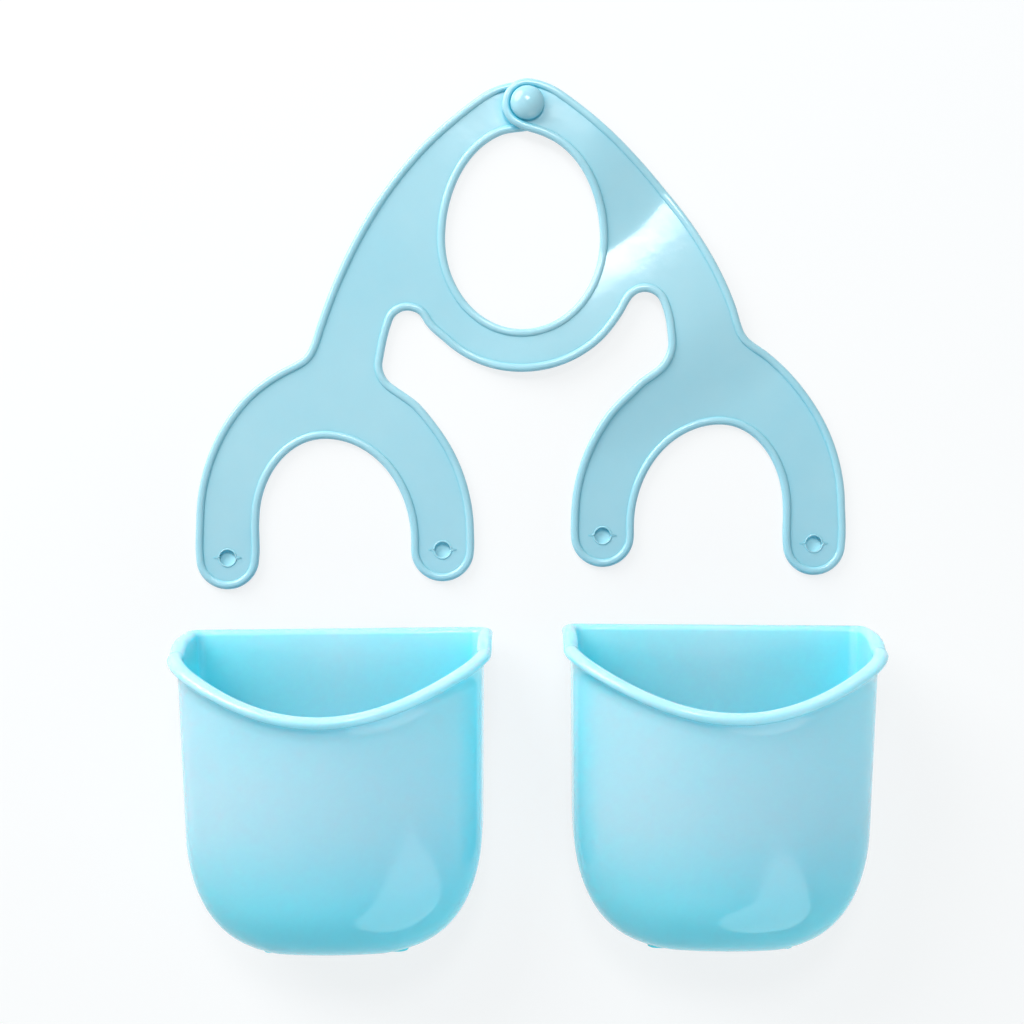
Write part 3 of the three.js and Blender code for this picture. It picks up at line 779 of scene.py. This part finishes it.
def cup_plan():
    """The plan as shares of half the width and of the depth, from the middle of the back round."""
    corner = np.array([half_width - FRONT_CORNER, side_depth])
    bow = (corner[0] ** 2 + (FRONT_CORNER + FRONT_BOW) ** 2 - FRONT_CORNER**2) / (2 * FRONT_BOW)
    bow_centre = np.array([0.0, CUP_DEPTH - bow])
    leaves = math.atan2(corner[1] - bow_centre[1], corner[0])
    back_end = half_width - BACK_CORNER
    back = np.linspace(0, back_end, BACK_STEPS, endpoint=False)
    side = np.linspace(BACK_CORNER, side_depth, SIDE_STEPS)[1:-1]
    half = np.vstack([
        np.column_stack([back, np.zeros(len(back))]),
        arc((back_end, BACK_CORNER), -QUARTER, 0, BACK_CORNER, CORNER_STEPS),
        np.column_stack([np.full(len(side), half_width), side]),
        arc(corner, 0, leaves, FRONT_CORNER, FRONT_STEPS),
        arc(bow_centre, leaves, QUARTER, bow, BOW_STEPS)[1:],
    ])
    other = half[1:-1][::-1] * (-1, 1)
    return np.vstack([half, other]) / (half_width, CUP_DEPTH)


plan = cup_plan()
on_front = plan[:, 1] > side_depth / CUP_DEPTH
straight = np.clip((1 - np.abs(plan[:, 0])) / FLAT_FADE, 0, 1) * on_front
print("points round the plan:", len(plan))


# %% The cup's rings
def swell(height, reach):
    """A quarter-round from 0 at the base to 1 at the given reach."""
    left = np.clip((reach - height) / reach, 0, 1)
    return np.sqrt(1 - left**2)


def cup_ring(inset, base, height):
    """One ring of the cup, moved in from the outer wall by inset, above a floor at base."""
    fall = 1 - height / cup_height
    full_width = half_width - SIDE_TAPER * fall - inset
    full_depth = CUP_DEPTH - FRONT_TAPER * fall - inset
    flat = FLAT_HALF - min(0.0, inset)
    width = flat + (full_width - flat) * swell(height - base, CORNER_RISE - base)
    flat_depth = full_depth - FRONT_ROUND + base
    rounding = swell(height - base, FRONT_ROUND - base)
    depth = flat_depth + (full_depth - flat_depth) * rounding
    back = max(0.0, inset)
    forward = 1 - (1 - plan[:, 1]) * (1 - FLAT_FRONT * (1 - rounding) * straight)
    return np.column_stack([plan[:, 0] * width, height, back + forward * (depth - back)])


def rim_line():
    """The height of the rim's crown at each point of the plan."""
    depth = plan[:, 1] * CUP_DEPTH
    along = np.clip(depth / side_depth, 0, 1)
    lip = np.where(depth < side_depth, 0.0, np.clip(np.cos(QUARTER * plan[:, 0]), 0, 1))
    drop = SIDE_DROP * along**SIDE_CURVE + (FRONT_DROP - SIDE_DROP) * lip**LIP_CURVE
    return cup_height - drop


rim_height = rim_line()
print(f"the rim dips by {(rim_height.max() - rim_height.min()) / MM:.1f} mm")

# %% The shell of a cup
LOW_RINGS, HIGH_RINGS, ROLL_RINGS = 22, 10, 22


def wall_rings(inset, base, top):
    """Rings from the floor up to a height below the rim, closer together round the lower corner."""
    turn = np.linspace(0, QUARTER, LOW_RINGS)
    low = [np.full(len(plan), base + (CORNER_RISE - base) * (1 - math.cos(a))) for a in turn]
    climb = rim_height - top - CORNER_RISE
    high = [CORNER_RISE + climb * k / HIGH_RINGS for k in range(1, HIGH_RINGS + 1)]
    return [cup_ring(inset, base, height) for height in low + high]


def rim_rings():
    """The rolled rim: a rounded bar that stands out past the wall."""
    middle_inset, half_roll = (WALL - FLANGE) / 2, (WALL + FLANGE) / 2
    rings = []
    for a in np.linspace(0, 3 * QUARTER, ROLL_RINGS)[1:]:
        inset = middle_inset + half_roll * math.cos(a)
        drop = RIM_DEPTH / 2 * (1 - math.sin(a))
        rings.append(cup_ring(inset, base=0.0, height=rim_height - drop))
    return rings


def lofted(name, rings):
    """A closed mesh through rings of points, with a flat end on the first and on the last."""
    count = len(rings[0])
    faces = [tuple(range(count))[::-1]]
    for k in range(len(rings) - 1):
        here, above = k * count, (k + 1) * count
        for i in range(count):
            j = (i + 1) % count
            faces.append((here + i, here + j, above + j, above + i))
    faces.append(tuple(range((len(rings) - 1) * count, len(rings) * count)))
    mesh = bpy.data.meshes.new(name)
    mesh.from_pydata(np.vstack(rings).tolist(), [], faces)
    body = bmesh.new()
    body.from_mesh(mesh)
    bmesh.ops.recalc_face_normals(body, faces=body.faces)
    body.to_mesh(mesh)
    body.free()
    mesh.materials.append(hard_plastic)
    return mesh


inner = wall_rings(inset=WALL, base=FLOOR, top=RIM_DEPTH / 2)
outer = wall_rings(inset=0.0, base=0.0, top=UNDER_RIM)
shell = lofted("cup_shell", [*inner, *rim_rings(), *outer[::-1]])
shell.polygons.foreach_set("use_smooth", [True] * len(shell.polygons))
print("cup shell:", len(shell.polygons), "faces")

# %% [markdown]
# ## Feet
# Two pads under the floor keep a standing cup off the wet worktop. They are part of the same
# moulding, so they are sunk into the floor here and the next step's Boolean makes one body of both.

# %% Foot pads
FOOT_FROM_BACK = 6 * MM
FOOT_SPACING = 38.5 * MM
FOOT_WIDTH, FOOT_LENGTH, FOOT_CORNER = 10 * MM, 20 * MM, 3 * MM
FOOT_SUNK = 1.3 * MM
FOOT_SOFT = 0.4 * MM
FOOT_EASE = 0.3 * FOOT_SOFT


def foot_pad(x):
    """A flat pad with rounded corners, sunk a little into the floor."""
    centre_z = FOOT_FROM_BACK + FOOT_LENGTH / 2
    reach_x, reach_z = FOOT_WIDTH / 2 - FOOT_CORNER, FOOT_LENGTH / 2 - FOOT_CORNER
    rounds = []
    for k, (sx, sz) in enumerate(((1, 1), (-1, 1), (-1, -1), (1, -1))):
        place = (x + sx * reach_x, centre_z + sz * reach_z)
        rounds.append(arc(place, k * QUARTER, (k + 1) * QUARTER, FOOT_CORNER, count=8))
    outline = np.vstack(rounds)
    centre = outline.mean(axis=0)
    levels = [
        (FOOT_SUNK, 0.0),
        (FOOT_SOFT - FOOT_HEIGHT, 0.0),
        (FOOT_EASE - FOOT_HEIGHT, FOOT_EASE),
        (-FOOT_HEIGHT, FOOT_SOFT),
    ]
    rings = []
    for height, inset in levels:
        pull = 1 - inset / np.linalg.norm(outline - centre, axis=1, keepdims=True)
        ring = centre + (outline - centre) * pull
        rings.append(np.column_stack([ring[:, 0], np.full(len(ring), height), ring[:, 1]]))
    return lofted("foot", rings)


footed = bmesh.new()
for mesh in (shell, foot_pad(-FOOT_SPACING / 2), foot_pad(FOOT_SPACING / 2)):
    footed.from_mesh(mesh)
footed.to_mesh(shell)
footed.free()
print(f"feet {FOOT_SPACING / MM:.1f} mm apart")

# %% [markdown]
# ## Drain holes
# Water has to leave the cup, so its floor has rows of small round holes. Repeated holes are a job
# for Geometry Nodes: a grid of points, a short drill on each, and one Boolean that cuts them all.
# With Self Intersection on, the same Boolean melts the sunk feet into the floor.


# %% A tree that drills the floor
def drain_tree(material):
    inputs = {
        "Columns": WHOLE,
        "Rows": WHOLE,
        "Pitch": FLOAT,
        "Diameter": FLOAT,
        "Depth": FLOAT,
        "From Back": FLOAT,
    }
    tree, wire, given = new_tree("drain_holes", inputs)
    across = (given["Columns"] - 1.0) * given["Pitch"]
    along = (given["Rows"] - 1.0) * given["Pitch"]
    grid = wire.node(
        "GeometryNodeMeshGrid",
        sockets={0: across, 1: along, 2: given["Columns"], 3: given["Rows"]},
    )
    drill = wire.node(
        "GeometryNodeMeshCylinder",
        sockets={"Vertices": 24, "Radius": given["Diameter"] * 0.5, "Depth": given["Depth"]},
    )
    drills = wire.node("GeometryNodeInstanceOnPoints", sockets={"Points": grid, "Instance": drill})
    middle_row = wire.node("ShaderNodeCombineXYZ", sockets={"Z": given["From Back"]})
    upright = (QUARTER, 0.0, 0.0)
    placed = wire.node(
        "GeometryNodeTransform",
        sockets={"Geometry": drills, "Translation": middle_row, "Rotation": upright},
    )
    real = wire.node("GeometryNodeRealizeInstances", sockets={"Geometry": placed})
    cut = wire.node(
        "GeometryNodeMeshBoolean",
        {"operation": "DIFFERENCE", "solver": "EXACT"},
        {"Mesh 1": given["Geometry"], "Mesh 2": real, "Self Intersection": True},
    )
    end_tree(tree, wire, cut, material)
    return tree


drain = {
    "Columns": 4,
    "Rows": 2,
    "Pitch": 8 * MM,
    "Diameter": 3.6 * MM,
    "Depth": 12 * MM,
    "From Back": 17.75 * MM,
}
drilled = run_tree(drain_tree(hard_plastic), shell, drain)
print("drilled shell:", len(drilled.polygons), "faces")


# %% [markdown]
# ## Studs
# On the back, two mushroom studs go through the yoke's holes. They are alike, so one stud is turned
# and Geometry Nodes set a pair.


# %% A tree that sets a pair of studs
def stud_pair_tree(material):
    tree, wire, given = new_tree("stud_pair", {"Spacing": FLOAT, "Height": FLOAT})
    half = given["Spacing"] * 0.5
    first = wire.node("ShaderNodeCombineXYZ", sockets={"X": half * -1.0, "Y": given["Height"]})
    step = wire.node("ShaderNodeCombineXYZ", sockets={"X": given["Spacing"]})
    line = wire.node(
        "GeometryNodeMeshLine",
        {"mode": "OFFSET"},
        {"Count": 2, "Start Location": first, "Offset": step},
    )
    pair = wire.node(
        "GeometryNodeInstanceOnPoints",
        sockets={"Points": line, "Instance": given["Geometry"]},
    )
    end_tree(tree, wire, pair, material)
    return tree


neck_length = 2.6 * MM
stud_head = 4.7 * MM
stud_head_height = 2.4 * MM
stud_edge = 0.5 * MM
stud_below_mouth = 24 * MM
root = -0.9 * MM
stud_profile = [
    (0.0, root),
    (neck_radius, root),
    (neck_radius, neck_length),
    *dome(stud_head, neck_length, stud_head_height, stud_edge, steps=8),
]
stud_mesh = lathe("stud", stud_profile, sides=48, material=hard_plastic)
stud_mesh.transform(Matrix.Rotation(math.pi, 4, "X"))
pair_values = {"Spacing": stud_spacing, "Height": cup_height - stud_below_mouth}
studs = run_tree(stud_pair_tree(hard_plastic), stud_mesh, pair_values)
print("stud pair:", len(studs.polygons), "faces")

# %% Set both cups
for name in ("left_cup", "right_cup"):
    place = cup_place(name)[0]
    body, pair = drilled.copy(), studs.copy()
    for mesh in (body, pair):
        mesh.transform(place)
    cup = piece(name + "_shell", [body])
    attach(cup, name)
    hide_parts(name)
    pins = piece(name + "_studs", [pair])
    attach(pins, name)
    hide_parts(name + "_stud_left", name + "_stud_right")

# %% [markdown]
# ## Camera
# The photograph is a flat lay: the camera looks straight down. Its height is found from how far the
# cups' rims, which stand up to 60 mm, spread outwards from the middle of the picture.

# %% Camera
camera_height = 520 * MM
view_width = 358.4 * MM
view_x, view_y = -0.175 * MM, -56.2 * MM
sensor_width = 36.0
photo_width = 1024
centre_right_by = 10
camera_data = bpy.data.cameras.new("camera")
camera_data.sensor_width = sensor_width
camera_data.lens = sensor_width * camera_height / view_width
camera_data.shift_x = -centre_right_by / photo_width
camera = bpy.data.objects.new("camera", camera_data)
camera.location = (view_x, view_y, camera_height)
bpy.context.scene.collection.objects.link(camera)
bpy.context.scene.camera = camera
print(f"camera {camera_height / MM:.0f} mm up, lens {camera_data.lens:.1f} mm")

# %% [markdown]
# ## Table and light
# The table is white paper, almost without shadow. More light would whiten it, but would bleach the
# plastic too. So the paper and the world glow white only for rays that look at them: from the
# camera, off a shiny surface or through a clear one. The paper keeps a share of its own shading,
# and with it the object's soft shadow. Under each arm tip a disc of blue-grey paper is painted
# shade for the table there, which light reaches only through blue plastic. A large soft lamp
# stands to the upper left, a weak one to the lower right, and a small one above the ring makes its
# sheen. The world fills the rest with pale, cool light.

# %% The white table
WHITE = (1.0, 1.0, 1.0, 1.0)


def looked_at(wire):
    """1 for the rays that should see a white backdrop, and 0 for those that only carry light."""
    path = wire.tree.nodes.new("ShaderNodeLightPath")
    kinds = ("Is Camera Ray", "Is Glossy Ray", "Is Transmission Ray")
    direct, mirrored, through = [Wire(wire.tree, path.outputs[kind]) for kind in kinds]
    return direct + mirrored + through


def table_material(glow_share):
    material = bpy.data.materials.new("white_table")
    material.use_nodes = True
    tree = material.node_tree
    tree.nodes.clear()
    wire = Wire(tree)
    paper = wire.node("ShaderNodeBsdfDiffuse", sockets={"Color": (0.9, 0.9, 0.91, 1.0)})
    glow = wire.node("ShaderNodeEmission", sockets={"Color": WHITE, "Strength": 1.0})
    share = looked_at(wire) * glow_share
    mixed = wire.node("ShaderNodeMixShader", sockets={0: share, 1: paper, 2: glow})
    out = tree.nodes.new("ShaderNodeOutputMaterial")
    tree.links.new(mixed.socket, out.inputs["Surface"])
    return material


table_size = 2.4
table_height = -0.3 * MM
bpy.ops.mesh.primitive_plane_add(size=table_size, location=(0, view_y, table_height))
table = bpy.context.object
table.name = "table"
table.data.materials.append(table_material(glow_share=0.8))
print(f"table {table_size} m wide")


# %% Paper painted with shade under the arm tips
def shaded_paper():
    """Painted shade: a blue-grey paper for the table where the yoke shades it, which only light through blue
    plastic reaches.
    """
    material = bpy.data.materials.new("shaded_table")
    material.use_nodes = True
    shader = material.node_tree.nodes["Principled BSDF"]
    shader.inputs["Base Color"].default_value = linear(0.80, 0.97, 1.0)
    shader.inputs["Roughness"].default_value = 0.9
    return material


shade_radius = 6 * MM
shade_height = -0.1 * MM
under_tips = shaded_paper()
# Painted shade: a blue-grey disc of paper under each eye-shaped hole.
for loop in eyes:
    spot = (*loop.mean(axis=0), shade_height)
    bpy.ops.mesh.primitive_circle_add(radius=shade_radius, fill_type="NGON", location=spot)
    bpy.context.object.name = "shade_under_tip"
    bpy.context.object.data.materials.append(under_tips)
print("tinted spots:", len(eyes))


# %% Lamps
def soft_lamp(name, place, aim, size, power):
    data = bpy.data.lights.new(name, "AREA")
    data.shape = "DISK"
    data.size = size
    data.energy = power
    lamp = bpy.data.objects.new(name, data)
    lamp.location = place
    lamp.rotation_euler = (Vector(aim) - Vector(place)).to_track_quat("-Z", "Y").to_euler()
    bpy.context.scene.collection.objects.link(lamp)


middle_of_set = (0, -50 * MM, 0)
soft_lamp("key", (-0.77, 0.80, 0.55), middle_of_set, size=1.0, power=19)
soft_lamp("fill", (0.5, -0.95, 0.5), middle_of_set, size=0.9, power=3.5)
soft_lamp("sheen", (-0.01, 0.56, 1.07), middle_of_set, size=0.30, power=4.3)

# %% World
cool_light = (0.5, 0.85, 0.96, 1.0)
cool_strength, white_strength = 0.30, 1.0
world = bpy.data.worlds.new("studio")
world.use_nodes = True
sky = world.node_tree.nodes["Background"]
wire = Wire(world.node_tree)
seen = looked_at(wire)
tint = wire.mix(seen, cool_light, WHITE)
strength = seen * (white_strength - cool_strength) + cool_strength
for value, socket in ((tint, "Color"), (strength, "Strength")):
    world.node_tree.links.new(value.socket, sky.inputs[socket])
bpy.context.scene.world = world
bpy.context.scene.view_settings.view_transform = "Standard"
print("world light:", cool_strength)
